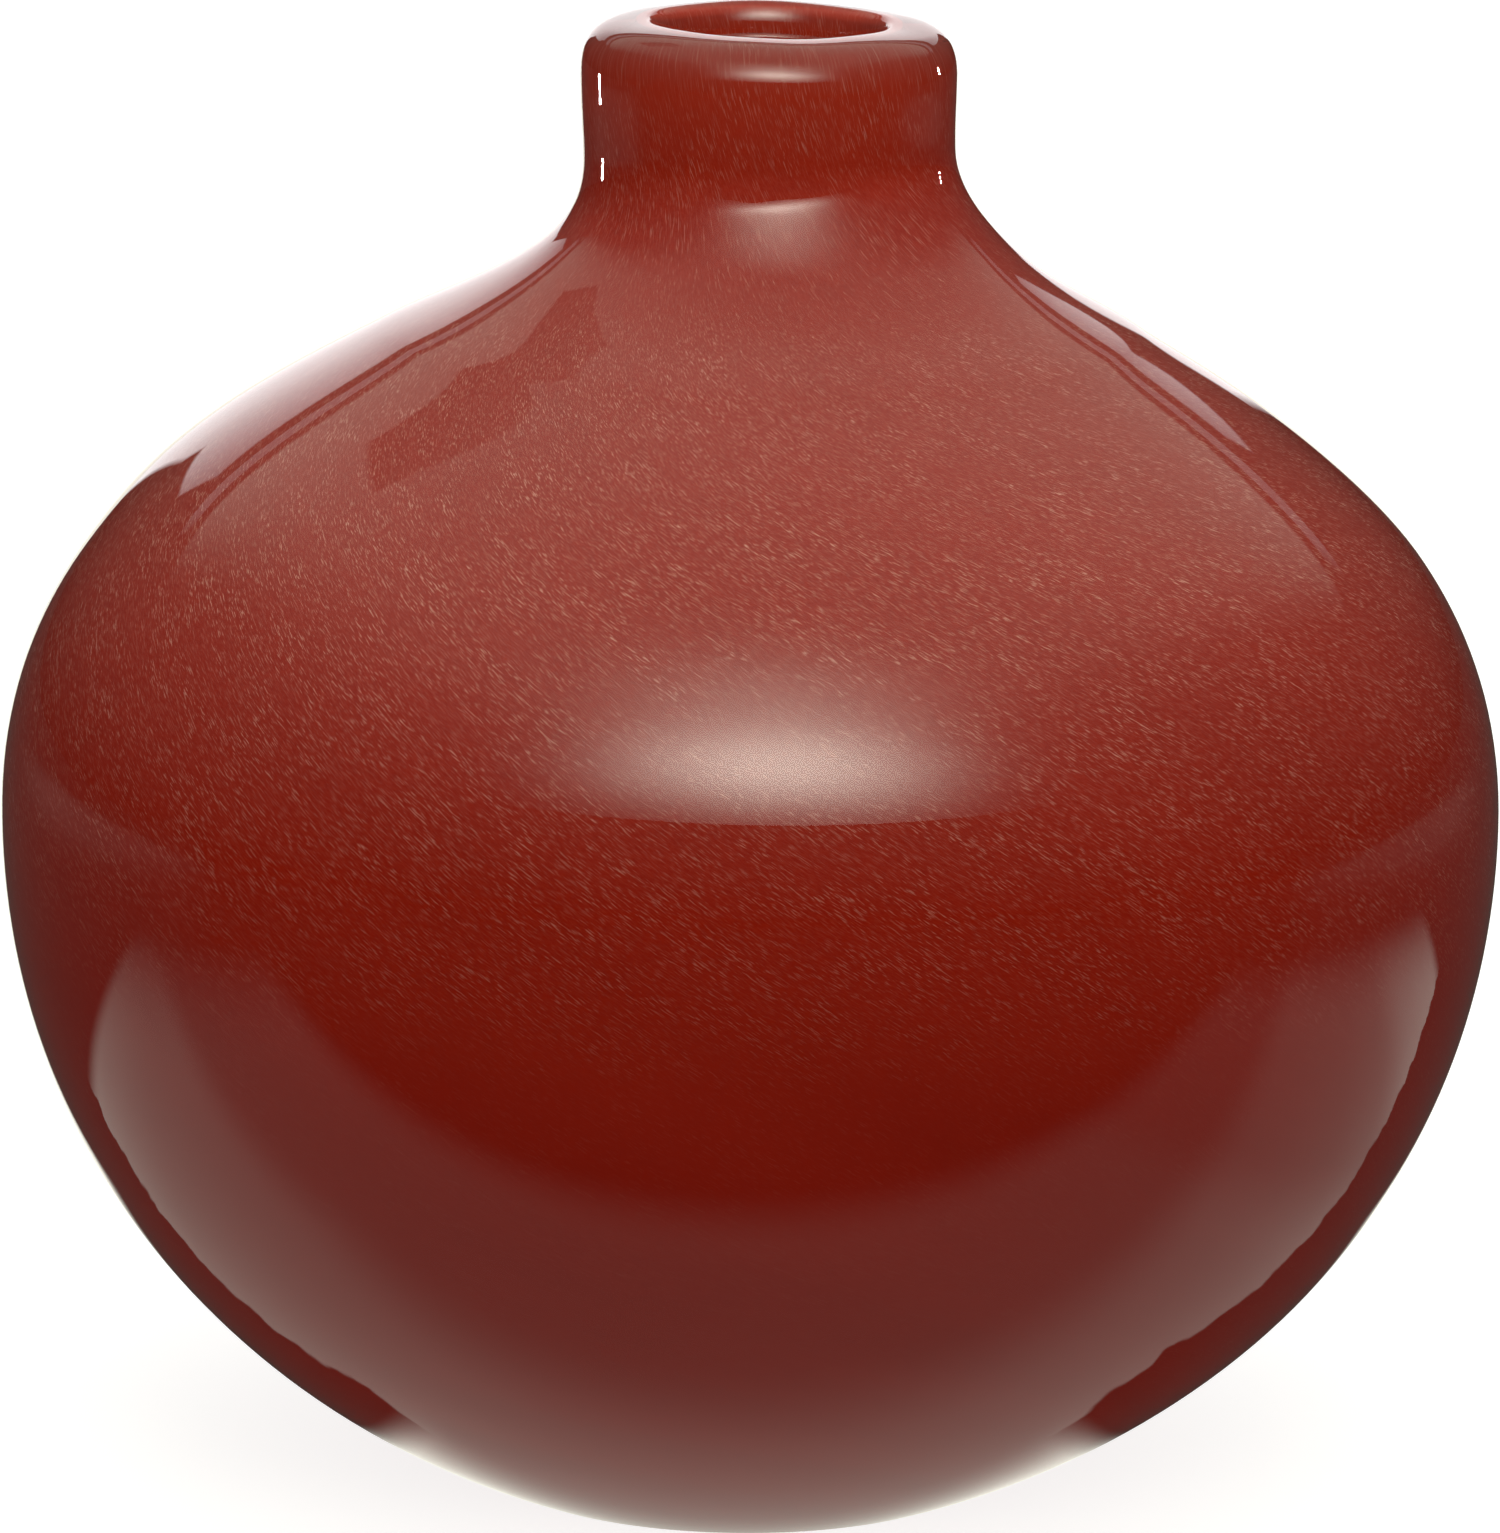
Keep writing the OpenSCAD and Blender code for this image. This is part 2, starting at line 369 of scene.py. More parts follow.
def red_glass():
    """Opaque red glass from powder and crushed chips: an even grain, and sparse pale flecks drawn out along
    the twist. They read as a soft bloom from afar and as fine threads from near by."""
    material, tree = new_material("opaque_red_powder_glass")
    twist = add(tree, "Attribute", attribute_name="twist").outputs["Vector"]
    place = add(tree, "TexCoord").outputs["Object"]
    up = add(tree, "SeparateXYZ", {0: place}).outputs["Z"]
    neck = add(tree, "MapRange", {"Value": up, "From Min": FLECKS_CHANGE[0], "From Max": FLECKS_CHANGE[1]})

    def drawn(wide, body_long, neck_long, detail):
        """Noise drawn out along the twist, from the body's set to the neck's."""
        sets = []
        for round_r, length in ((BODY_FLECKS_R, body_long), (NECK_FLECKS_R, neck_long)):
            size = (round_r / wide, round_r / wide, 1 / length)
            at = add(tree, "VectorMath", {0: twist, 1: size}, operation="MULTIPLY")
            sets.append(add(tree, "TexNoise", {"Vector": at, "Scale": 1.0, "Detail": detail}))
        return add(tree, "MixRGB", {0: neck, 1: sets[0], 2: sets[1]})

    clouds, grain, blotches, threads = (drawn(*pattern) for pattern in (CLOUDS, GRAIN, BLOTCHES, THREADS))
    ground = add(tree, "MixRGB", {0: clouds, 1: colour("#811507"), 2: colour("#8C190A")})
    # Painted light: the neck's ground is paler towards the lip, where more light falls, and darker at its
    # base
    lip_painted_light = add(tree, "MapRange", {"Value": up, "From Min": NECK_PAINTED_LIGHT[0], "From Max": NECK_PAINTED_LIGHT[1]})
    ground = add(tree, "MixRGB", {0: lip_painted_light, 1: ground, 2: colour("#9E2A18")})
    # The powder lies thick on the shoulder and thin on the lower half
    shoulder = add(tree, "MapRange", {
        "Value": up, "From Min": POWDER_THICK[0], "From Max": POWDER_THICK[1], "To Min": POWDER_THIN,
    })
    powder = add(tree, "MapRange", {
        "Value": grain, "From Min": POWDER_SHOWS[0], "From Max": POWDER_SHOWS[1], "To Max": POWDER_MOST,
    })
    powder = add(tree, "Math", {0: powder, 1: shoulder}, operation="MULTIPLY")
    skin = add(tree, "MixRGB", {0: powder, 1: ground, 2: colour("#9A2F1E")})
    # Pale flecks: faint ones all over, and bright ones in patches
    share = add(tree, "MapRange", {"Value": neck, "To Min": 1.0, "To Max": NECK_SHARE})
    thick = add(tree, "Math", {0: shoulder, 1: share}, operation="MULTIPLY")
    patchy = add(tree, "MapRange", {
        "Value": blotches, "From Min": BLOTCH_SHOWS[0], "From Max": BLOTCH_SHOWS[1], "To Min": BLOTCH_LEAST,
    })
    patchy = add(tree, "Math", {0: patchy, 1: thick}, operation="MULTIPLY")
    bright = add(tree, "MapRange", {
        "Value": threads, "From Min": BRIGHT_SHOWS[0], "From Max": BRIGHT_SHOWS[1], "To Max": BRIGHT_MOST,
    })
    bright = add(tree, "Math", {0: bright, 1: patchy}, operation="MULTIPLY")
    faint = add(tree, "MapRange", {
        "Value": threads, "From Min": FAINT_SHOWS[0], "From Max": FAINT_SHOWS[1], "To Max": FAINT_MOST,
    })
    faint = add(tree, "Math", {0: faint, 1: thick}, operation="MULTIPLY")
    pale = add(tree, "Math", {0: bright, 1: faint}, operation="ADD")
    skin = add(tree, "MixRGB", {0: pale, 1: skin, 2: colour("#C6907E")})
    red = add(tree, "BsdfPrincipled", {"Base Color": skin, "Roughness": 0.6, "Specular IOR Level": 0.0})
    add(tree, "OutputMaterial", {"Surface": red})
    return material


clear = clear_glass()
red = red_glass()

# The three layers, each a closed body
outside = outer_line()
casing_face = layer_line(CASING_T + FUSED, COLOUR_OUTER_R - FUSED, FLOOR_T - LINING_T - COLOUR_T + FUSED)
rim_outer = Vector((COLOUR_OUTER_R - FUSED, COLOUR_TOP - FUSED))
rim_inner = Vector((COLOUR_INNER_R + FUSED, COLOUR_TOP - FUSED))
casing_line = (
    outside
    + [Vector((COLOUR_INNER_R + FUSED, MOUTH_Z)), rim_inner, rim_outer]
    + stretch(rim_outer, casing_face[-1], SHORT_STEPS)
    + casing_face[-2::-1]
)
casing = turned("outer_casing_glass", casing_line, clear, sharp=(SHORT_STEPS, SHORT_STEPS + 1))

red_outer = layer_line(CASING_T, COLOUR_OUTER_R, FLOOR_T - LINING_T - COLOUR_T)
red_inner = layer_line(CASING_T + COLOUR_T, COLOUR_INNER_R, FLOOR_T - LINING_T)
red_rim = Vector((COLOUR_OUTER_R, COLOUR_TOP))
red_bore = Vector((COLOUR_INNER_R, COLOUR_TOP))
red_line = (
    red_outer
    + stretch(red_outer[-1], red_rim, SHORT_STEPS)
    + [red_bore]
    + stretch(red_bore, red_inner[-1], SHORT_STEPS)
    + red_inner[-2::-1]
)
red_layer = turned("red_colour_layer", red_line, red)
lay_twist(red_layer, red_line)

lining_face = layer_line(CASING_T + COLOUR_T - FUSED, COLOUR_INNER_R + FUSED, FLOOR_T - LINING_T - FUSED)
hollow = layer_line(CASING_T + COLOUR_T + LINING_T, MOUTH_R, FLOOR_T)
lining_rim = Vector((COLOUR_INNER_R + FUSED, MOUTH_Z + FUSED))
lining_bore = Vector((MOUTH_R, MOUTH_Z + FUSED))
lining_line = (
    lining_face
    + stretch(lining_face[-1], lining_rim, SHORT_STEPS)
    + [lining_bore]
    + stretch(lining_bore, hollow[-1], SHORT_STEPS)
    + hollow[-2::-1]
)
lining = turned("inner_gather_glass", lining_line, clear)

for piece, node, finish in (
    (casing, "outer_casing", "clear_glass"),
    (red_layer, "colour_layer", "red_glass"),
    (lining, "inner_gather", "clear_glass"),
):
    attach(piece, "root")
    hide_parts(node)


def panel(name, corners, material):
    """A flat or bent sheet of the studio from rows of corners."""
    mesh = bpy.data.meshes.new(name)
    across = len(corners[0])
    points = [tuple(c) for row in corners for c in row]
    faces = []
    for i in range(len(corners) - 1):
        for j in range(across - 1):
            k = i * across + j
            faces.append((k, k + 1, k + across + 1, k + across))
    mesh.from_pydata(points, [], faces)
    mesh.materials.append(material)
    sheet = bpy.data.objects.new(name, mesh)
    bpy.context.collection.objects.link(sheet)
    return sheet


# The middle of the vase, in metres
VASE_MIDDLE = Vector((0, 0, 0.1))


def towards(azimuth, elevation, distance, centre=VASE_MIDDLE):
    """A place in the studio. Azimuth 0 is in front of the vase, and rises to the right."""
    a, e = math.radians(azimuth), math.radians(elevation)
    return centre + distance * Vector((math.cos(e) * math.sin(a), -math.cos(e) * math.cos(a), math.sin(e)))


# The lit white sheet that the vase stands on, as its lower half mirrors it, in metres. A pair says where an
# edge starts to fade and where it ends.
# Half the width of the whole floor, and how far it lies below the foot
FLOOR_HALF, FLOOR_DROP = 4, 0.2 * MM
# How bright the sheet is, how much brighter it is behind, and where it has grown so bright
SHEET_GLOW, SHEET_RISE, SHEET_RISEN = 0.48, 0.45, 0.1
# The two steps of its front edge, and its left and right edges
SHEET_FRONT_NEAR, SHEET_FRONT_FAR = (-0.055, -0.085), (-0.12, -0.15)
SHEET_LEFT, SHEET_RIGHT = (-0.2, -0.4), (0.25, 0.42)
# Its back edge, which lies slanted: its place, its slope and how it fades
SHEET_BACK, SHEET_SLANT, SHEET_BACK_SOFT = 0.093, 0.169, (0.01, -0.01)
# On the left the nearer front step turns towards the back: where that starts, and its slope
SHEET_TURN, SHEET_TURN_SLOPE = 0.1, 0.27
# On the right a soft shadow is painted on the sheet: how much it dims it, where that starts across, and up to
# where it reaches back
SHEET_SHADE, SHEET_SHADE_FROM, SHEET_SHADE_TO = 0.32, (0.15, 0.11), (0.03, 0.075)
# The vase's shadow painted on the sheet behind it as a dark wedge: the place of its tip, its slope, how near
# it comes, its soft edge
SHADOW_AT, SHADOW_TIP, SHADOW_SLOPE, SHADOW_NEAR, SHADOW_SOFT = 0.007, -0.0935, 0.9, -0.033, (0.001, -0.001)
# How far the painted shadow's torn edge runs in and out, and how many times in a metre
TORN, TORN_TIMES = 0.012, 70.0
# The lit strip that stays under the vase, across and towards the back
STRIP_ACROSS, STRIP_BACK = (0.045, 0.055), (0.0, 0.02)
# Straight behind the vase the sheet is white again: half its width at the vase, how much it spreads to the
# left and right for each metre, its soft edge, where it starts, and how bright it is
BEHIND_HALF, BEHIND_SPREAD, BEHIND_SOFT = 0.1, (0.22, 0.14), 0.01
BEHIND_FROM, BEHIND_GLOW = (0.08, 0.12), 1.2
# Close under the foot it is nearly white too
UNDER_GLOW, UNDER_FROM = 0.6, (-0.015, -0.04)
# Light painted on the table: a little behind the vase, and a pool of more at each side
BACK_GLOW, BACK_FROM = 0.03, (0.0, -0.1)
POOL_MIDDLE, POOL_GLOW, POOL_EDGE = (1.0, 0.4, 0.0), 0.08, (0.25, 0.6)
# Light that the sheet scatters, near the foot and further out, and between which distances it falls
SCATTER_NEAR, SCATTER_FAR, SCATTER_REACH = 0.54, 0.12, (0.12, 0.4)
# White that the camera sees, near the foot and further out, and between which distances it grows
WHITE_NEAR, WHITE_FAR, WHITE_REACH = 0.8, 1.0, (0.1, 0.5)


def lit_sheet():
    """A matt white acrylic sheet, lit from below, on a dim table. To the camera all of it is white, with the
    vase's soft shadow. The vase's glass mirrors the sheet's edges, and the shadow and light painted on it."""
    material, tree = new_material("matt_white_acrylic_sheet")
    place = add(tree, "TexCoord").outputs["Object"]
    xyz = add(tree, "SeparateXYZ", {0: place})
    x, y = xyz.outputs["X"], xyz.outputs["Y"]
    aside = add(tree, "Math", {0: x}, operation="ABSOLUTE")
    away = add(tree, "VectorMath", {0: place}, operation="LENGTH").outputs["Value"]

    # The nearer front step, the slanted back edge and the torn edge of the painted shadow
    beyond = add(tree, "Math", {0: -SHEET_TURN, 1: x}, operation="SUBTRACT")
    beyond = add(tree, "Math", {0: beyond, 1: 0.0}, operation="MAXIMUM")
    turned_y = add(tree, "Math", {0: beyond, 1: -SHEET_TURN_SLOPE, 2: y}, operation="MULTIPLY_ADD")
    slanted = add(tree, "Math", {0: x, 1: SHEET_SLANT, 2: SHEET_BACK}, operation="MULTIPLY_ADD")
    before = add(tree, "Math", {0: slanted, 1: y}, operation="SUBTRACT")
    ragged = add(tree, "TexNoise", {"Vector": place, "Scale": TORN_TIMES, "Detail": 2.0})
    torn = add(tree, "Math", {0: ragged, 1: TORN, 2: -TORN / 2}, operation="MULTIPLY_ADD")
    # The painted shadow: a dark wedge behind the vase, which its glass mirrors
    off_tip = add(tree, "Math", {0: x, 1: SHADOW_AT}, operation="SUBTRACT")
    off_tip = add(tree, "Math", {0: off_tip}, operation="ABSOLUTE")
    opening = add(tree, "Math", {0: off_tip, 1: SHADOW_SLOPE, 2: SHADOW_TIP}, operation="MULTIPLY_ADD")
    nearest = add(tree, "Math", {0: opening, 1: SHADOW_NEAR}, operation="MAXIMUM")
    out_of_shadow = add(tree, "Math", {0: nearest, 1: y}, operation="SUBTRACT")
    out_of_shadow = add(tree, "Math", {0: out_of_shadow, 1: torn}, operation="ADD")
    beside = add(tree, "CombineXYZ", {"X": aside, "Y": y})
    off_pool = add(tree, "VectorMath", {0: beside, 1: POOL_MIDDLE}, operation="DISTANCE").outputs["Value"]

    # Each soft edge: what it is measured along, where it starts and ends, and the level before it
    soft = {}
    for name, along, (start, end), level in (
        ("near step", turned_y, SHEET_FRONT_NEAR, 0.5),
        ("far step", y, SHEET_FRONT_FAR, 0.5),
        ("left", x, SHEET_LEFT, 1.0),
        ("right", x, SHEET_RIGHT, 1.0),
        ("back", before, SHEET_BACK_SOFT, 1.0),
        ("dim across", x, SHEET_SHADE_FROM, SHEET_SHADE),
        ("dim back", y, SHEET_SHADE_TO, 1.0),
        ("painted_shadow", out_of_shadow, SHADOW_SOFT, 1.0),
        ("strip across", aside, STRIP_ACROSS, 1.0),
        ("strip back", y, STRIP_BACK, 1.0),
        ("under", y, UNDER_FROM, UNDER_GLOW),
        ("table", y, BACK_FROM, BACK_GLOW),
        ("pool", off_pool, POOL_EDGE, POOL_GLOW),
    ):
        fade = {"Value": along, "From Min": end, "From Max": start, "To Max": level}
        soft[name] = add(tree, "MapRange", fade, interpolation_type="SMOOTHSTEP")

    # The sheet itself
    # Painted soft shadow on the right of the sheet
    dim = add(tree, "Math", {0: soft["dim across"], 1: soft["dim back"]}, operation="MULTIPLY")
    undimmed = add(tree, "Math", {0: 1.0, 1: dim}, operation="SUBTRACT")
    strip = add(tree, "Math", {0: soft["strip across"], 1: soft["strip back"]}, operation="MULTIPLY")
    # Away from the painted shadow, and on the lit strip under the vase
    clear_of_shadow = add(tree, "Math", {0: soft["painted_shadow"], 1: strip}, operation="MAXIMUM")
    gain = add(tree, "MapRange", {
        "Value": y, "From Min": 0.0, "From Max": SHEET_RISEN, "To Min": 1.0, "To Max": 1 + SHEET_RISE,
    })
    sheet = add(tree, "Math", {0: soft["near step"], 1: soft["far step"]}, operation="ADD")
    for share in (SHEET_GLOW, soft["left"], soft["right"], soft["back"], clear_of_shadow, gain, undimmed):
        sheet = add(tree, "Math", {0: sheet, 1: share}, operation="MULTIPLY")

    # The white behind the vase and under its foot, and the light painted on the table
    inside = []
    for spread, towards_edge in zip(BEHIND_SPREAD, ("ADD", "SUBTRACT")):
        half = add(tree, "Math", {0: y, 1: spread, 2: BEHIND_HALF}, operation="MULTIPLY_ADD")
        inside.append(add(tree, "Math", {0: half, 1: x}, operation=towards_edge))
    inside = add(tree, "Math", {0: inside[0], 1: inside[1]}, operation="MINIMUM")
    straight = add(tree, "MapRange", {"Value": inside, "From Min": 0.0, "From Max": BEHIND_SOFT})
    past = add(tree, "MapRange", {
        "Value": y, "From Min": BEHIND_FROM[0], "From Max": BEHIND_FROM[1], "To Max": BEHIND_GLOW,
    })
    behind = add(tree, "Math", {0: straight, 1: past}, operation="MULTIPLY")
    under = add(tree, "Math", {0: strip, 1: soft["under"]}, operation="MULTIPLY")
    mirrored = sheet
    for light in (behind, under, soft["table"], soft["pool"]):
        mirrored = add(tree, "Math", {0: mirrored, 1: light}, operation="ADD")

    # Light that scatters into the red layer comes from all of the sheet round the vase, and mirrored light
    # from its clear parts
    path = add(tree, "LightPath")
    scattered = add(tree, "MapRange", {
        "Value": away, "From Min": SCATTER_REACH[0], "From Max": SCATTER_REACH[1],
        "To Min": SCATTER_NEAR, "To Max": SCATTER_FAR,
    })
    level = add(tree, "MixRGB", {0: path.outputs["Is Glossy Ray"], 1: scattered, 2: mirrored})
    backlit = add(tree, "Emission", {"Color": colour("#FFFFF2"), "Strength": level})
    cloth = add(tree, "BsdfDiffuse", {"Color": colour("#2C2C2C")})
    matt = add(tree, "AddShader", {0: cloth, 1: backlit})

    # What the camera sees, straight or through the clear glass: white, with the vase's soft shadow
    white = add(tree, "MapRange", {
        "Value": away, "From Min": WHITE_REACH[0], "From Max": WHITE_REACH[1],
        "To Min": WHITE_NEAR, "To Max": WHITE_FAR,
    })
    shade = add(tree, "BsdfDiffuse", {"Color": colour("#A5A5A5")})
    glow = add(tree, "Emission", {"Color": (1, 1, 1, 1), "Strength": white})
    pale = add(tree, "AddShader", {0: shade, 1: glow})
    rays = {0: path.outputs["Is Camera Ray"], 1: path.outputs["Is Transmission Ray"]}
    seen = add(tree, "Math", rays, operation="MAXIMUM")
    both = add(tree, "MixShader", {0: seen, 1: matt, 2: pale})
    add(tree, "OutputMaterial", {"Surface": both})
    material.cycles.emission_sampling = "NONE"
    return material


floor_rows = [[(x, y, -FLOOR_DROP) for x in (-FLOOR_HALF, FLOOR_HALF)] for y in (-FLOOR_HALF, FLOOR_HALF)]
panel("white_floor", floor_rows, lit_sheet())

# The front softbox: its distance in metres, its azimuth, and how far its glow spreads sideways
KEY_DISTANCE, KEY_AZIMUTH, KEY_WIDE = 1.5, 6, 0.38
# Its cloth in degrees: the elevation of its lower edge, the height and number of its rows, and the azimuths
# of its upright seams
KEY_LOW, KEY_ROW, KEY_ROWS, KEY_SEAMS = 21.2, 3, 20, range(-60, 77, 4)
# Its hot middle and the softer glow above: elevation, brightness, and how far each spreads upwards
KEY_MIDDLE, KEY_GLOW = (36, 6.7, 0.194), (52, 1.75, 0.26)
key_middle = towards(KEY_AZIMUTH, KEY_MIDDLE[0], KEY_DISTANCE)


def key_light():
    """A large front softbox of white cloth, hottest near its lower middle and fading into the room."""
    material, tree = new_material("softbox_cloth")
    place = add(tree, "TexCoord").outputs["Object"]
    bells = []
    for elevation, hot, tall in (KEY_MIDDLE, KEY_GLOW):
        middle = towards(KEY_AZIMUTH, elevation, KEY_DISTANCE) - key_middle
        off = add(tree, "VectorMath", {0: place, 1: middle}, operation="SUBTRACT")
        scale = (1 / KEY_WIDE, 1 / tall, 1 / tall)
        squeezed = add(tree, "VectorMath", {0: off, 1: scale}, operation="MULTIPLY")
        reach = add(tree, "VectorMath", {0: squeezed, 1: squeezed}, operation="DOT_PRODUCT").outputs["Value"]
        half = add(tree, "Math", {0: reach, 1: -0.5}, operation="MULTIPLY")
        bell = add(tree, "Math", {0: half}, operation="EXPONENT")
        bells.append(add(tree, "Math", {0: bell, 1: hot}, operation="MULTIPLY"))
    level = add(tree, "Math", {0: bells[0], 1: bells[1]}, operation="ADD")
    glow = add(tree, "Emission", {"Color": colour("#FFFFF0"), "Strength": level})
    through = add(tree, "BsdfTransparent", {"Color": (1, 1, 1, 1)})
    both = add(tree, "AddShader", {0: glow, 1: through})
    add(tree, "OutputMaterial", {"Surface": both})
    return material


key_rows = []
for row in range(KEY_ROWS):
    elevation = KEY_LOW + KEY_ROW * row
    key_rows.append([towards(azimuth, elevation, KEY_DISTANCE) - key_middle for azimuth in KEY_SEAMS])
key = panel("front_softbox", key_rows, key_light())
key.location = key_middle
key.visible_camera = False


# Blue in the studio's light, against its red and green
WARM = 0.86
# The room as the glass mirrors it: how bright it is at each rise of the view, from below level to straight up
ROOM = (
    (-0.2, 0.01), (0.0, 0.03), (0.26, 0.1), (0.42, 0.15), (0.57, 0.23), (0.71, 0.34), (0.82, 0.47),
    (0.91, 0.58), (1.0, 0.75),
)
# The white ceiling panel: brightness, half its width over the vase, how it widens backwards, its soft edge
PANEL_GLOW, PANEL_HALF, PANEL_SPREAD, PANEL_SOFT = 0.64, 0.75, 0.45, 0.45
# A dim gap in it behind on the left: from where to where across and backwards, on a ceiling one unit up, and
# its soft edge
GAP_ACROSS, GAP_BACK, GAP_SOFT = (-0.61, -0.285), (0.66, 1.0), 0.02
# What stands behind the vase, on a plane one unit away, so that each number is a slope of the view from it:
# the top of the white backdrop, and the top of the dark frame above it with its soft edge and half its width
BACKDROP_TOP, FRAME_TOP, FRAME_SOFT, FRAME_HALF = 0.475, 0.64, 0.01, 0.75
# The pale seam in the frame: its height, half its width, how it fades at its ends, and its brightness
SEAM_AT, SEAM_HALF, SEAM_ENDS, SEAM_GLOW = 0.56, 0.028, 0.1, 0.4
# The dark flags at the backdrop's sides leave it free up to the wider of two lines, each with a start, a lean
# and an end
FLAG_LEFT = ((0.25, 0.6, 0.36), (0.03, 1.5, 0.565))
FLAG_RIGHT = ((0.17, 0.6, 0.21), (-0.1, 1.375, 0.475))
# How bright the backdrop is in its lower middle, how it fades sideways and upwards, its dimmest and brightest
# parts, and its soft edge
BACKDROP_GLOW, BACKDROP_FADE_U, BACKDROP_FADE_V = 2.15, -2.0, -0.8
BACKDROP_LEAST, BACKDROP_MOST, BACKDROP_SOFT = 0.5, 1.5, 0.015
# On the right it is dimmer: from where to where, and how much of it is left
BACKDROP_DIMS, BACKDROP_DIMMED = (0.2, 0.28), 0.78
# The least depth and rise of a view that is divided by them, and the depth where the backdrop ends
LEAST_DEPTH, LEAST_RISE, BACKDROP_DEPTH = 0.02, 0.05, 0.1


def studio():
    """White behind the vase, as the camera sees it all over. Glass and matt faces meet the whole room: bright
    above, dim at eye level, and a white backdrop with a dark frame straight behind the vase."""
    world = bpy.data.worlds.new("white_studio")
    world.use_nodes = True
    tree = world.node_tree
    tree.nodes.clear()
    way = add(tree, "SeparateXYZ", {0: add(tree, "TexCoord").outputs["Generated"]})
    x, y, z = (way.outputs[axis] for axis in "XYZ")
    lowest, highest = ROOM[0][0], ROOM[-1][0]
    rising = add(tree, "MapRange", {"Value": z, "From Min": lowest, "From Max": highest})
    room = add(tree, "ValToRGB", {0: rising})
    stops = room.color_ramp.elements
    for rise, level in ROOM[1:-1]:
        stops.new((rise - lowest) / (highest - lowest))
    for stop, (rise, level) in zip(stops, ROOM):
        stop.color = (level, level, level * WARM, 1)

    # Places on the plane behind the vase, across and up
    depth = add(tree, "Math", {0: y, 1: LEAST_DEPTH}, operation="MAXIMUM")
    u = add(tree, "Math", {0: x, 1: depth}, operation="DIVIDE")
    v = add(tree, "Math", {0: z, 1: depth}, operation="DIVIDE")
    off_middle = add(tree, "Math", {0: u}, operation="ABSOLUTE")

    # The ceiling panel, which reaches down to the frame behind, and its gap
    above = add(tree, "Math", {0: z, 1: LEAST_RISE}, operation="MAXIMUM")
    aside = add(tree, "Math", {0: x}, operation="ABSOLUTE")
    half = add(tree, "Math", {0: z, 1: PANEL_HALF}, operation="MULTIPLY")
    half = add(tree, "Math", {0: y, 1: PANEL_SPREAD, 2: half}, operation="MULTIPLY_ADD")
    inside = add(tree, "Math", {0: half, 1: aside}, operation="SUBTRACT")
    inside = add(tree, "Math", {0: inside, 1: above}, operation="DIVIDE")
    edge = {"Value": inside, "From Min": -PANEL_SOFT, "From Max": PANEL_SOFT}
    cover = add(tree, "MapRange", edge, interpolation_type="SMOOTHSTEP")
    over_frame = add(tree, "MapRange", {
        "Value": v, "From Min": FRAME_TOP - FRAME_SOFT, "From Max": FRAME_TOP + FRAME_SOFT,
    })
    in_gap = 1.0
    for part, (start, end) in ((x, GAP_ACROSS), (y, GAP_BACK)):
        place = add(tree, "Math", {0: part, 1: above}, operation="DIVIDE")
        from_start = add(tree, "Math", {0: place, 1: start}, operation="SUBTRACT")
        to_end = add(tree, "Math", {0: end, 1: place}, operation="SUBTRACT")
        for inwards in (from_start, to_end):
            in_gap = add(tree, "Math", {0: in_gap, 1: inwards}, operation="MINIMUM")
    off_gap = add(tree, "MapRange", {
        "Value": in_gap, "From Min": 0.0, "From Max": GAP_SOFT, "To Min": 1.0, "To Max": 0.0,
    })
    for share in (over_frame, off_gap):
        cover = add(tree, "Math", {0: cover, 1: share}, operation="MULTIPLY")
    lit = add(tree, "MixRGB", {0: cover, 1: room, 2: (PANEL_GLOW, PANEL_GLOW, PANEL_GLOW * WARM, 1)})

    # The pale seam in the frame
    seam = add(tree, "Math", {0: v, 1: SEAM_AT, 2: SEAM_HALF}, operation="COMPARE")
    ends = add(tree, "MapRange", {
        "Value": off_middle, "From Min": FRAME_HALF, "From Max": FRAME_HALF + SEAM_ENDS,
        "To Min": SEAM_GLOW, "To Max": 0.0,
    })
    seam = add(tree, "Math", {0: seam, 1: ends}, operation="MULTIPLY")
    framed = add(tree, "MixRGB", {0: seam, 1: lit, 2: (1, 1, 1, 1)})

    # The white backdrop between its flags
    within = add(tree, "Math", {0: BACKDROP_TOP, 1: v}, operation="SUBTRACT")
    behind = add(tree, "Math", {0: y, 1: BACKDROP_DEPTH}, operation="SUBTRACT")
    within = add(tree, "Math", {0: within, 1: behind}, operation="MINIMUM")
    for side, lines in ((-1.0, FLAG_LEFT), (1.0, FLAG_RIGHT)):
        limits = []
        for start, lean_out, end in lines:
            limit = add(tree, "Math", {0: v, 1: lean_out, 2: start}, operation="MULTIPLY_ADD")
            limits.append(add(tree, "Math", {0: limit, 1: end}, operation="MINIMUM"))
        wider = add(tree, "Math", {0: limits[0], 1: limits[1]}, operation="MAXIMUM")
        free = add(tree, "Math", {0: u, 1: -side, 2: wider}, operation="MULTIPLY_ADD")
        within = add(tree, "Math", {0: within, 1: free}, operation="MINIMUM")
    shown = add(tree, "MapRange", {"Value": within, "From Min": 0.0, "From Max": BACKDROP_SOFT})
    level = add(tree, "Math", {0: off_middle, 1: BACKDROP_FADE_U, 2: BACKDROP_GLOW}, operation="MULTIPLY_ADD")
    level = add(tree, "Math", {0: v, 1: BACKDROP_FADE_V, 2: level}, operation="MULTIPLY_ADD")
    undimmed = add(tree, "MapRange", {
        "Value": u, "From Min": BACKDROP_DIMS[0], "From Max": BACKDROP_DIMS[1],
        "To Min": 1.0, "To Max": BACKDROP_DIMMED,
    })
    level = add(tree, "Math", {0: level, 1: undimmed}, operation="MULTIPLY")
    level = add(tree, "Math", {0: level, 1: BACKDROP_LEAST}, operation="MAXIMUM")
    level = add(tree, "Math", {0: level, 1: BACKDROP_MOST}, operation="MINIMUM")
    backdrop = add(tree, "MixRGB", {0: shown, 1: framed, 2: level})

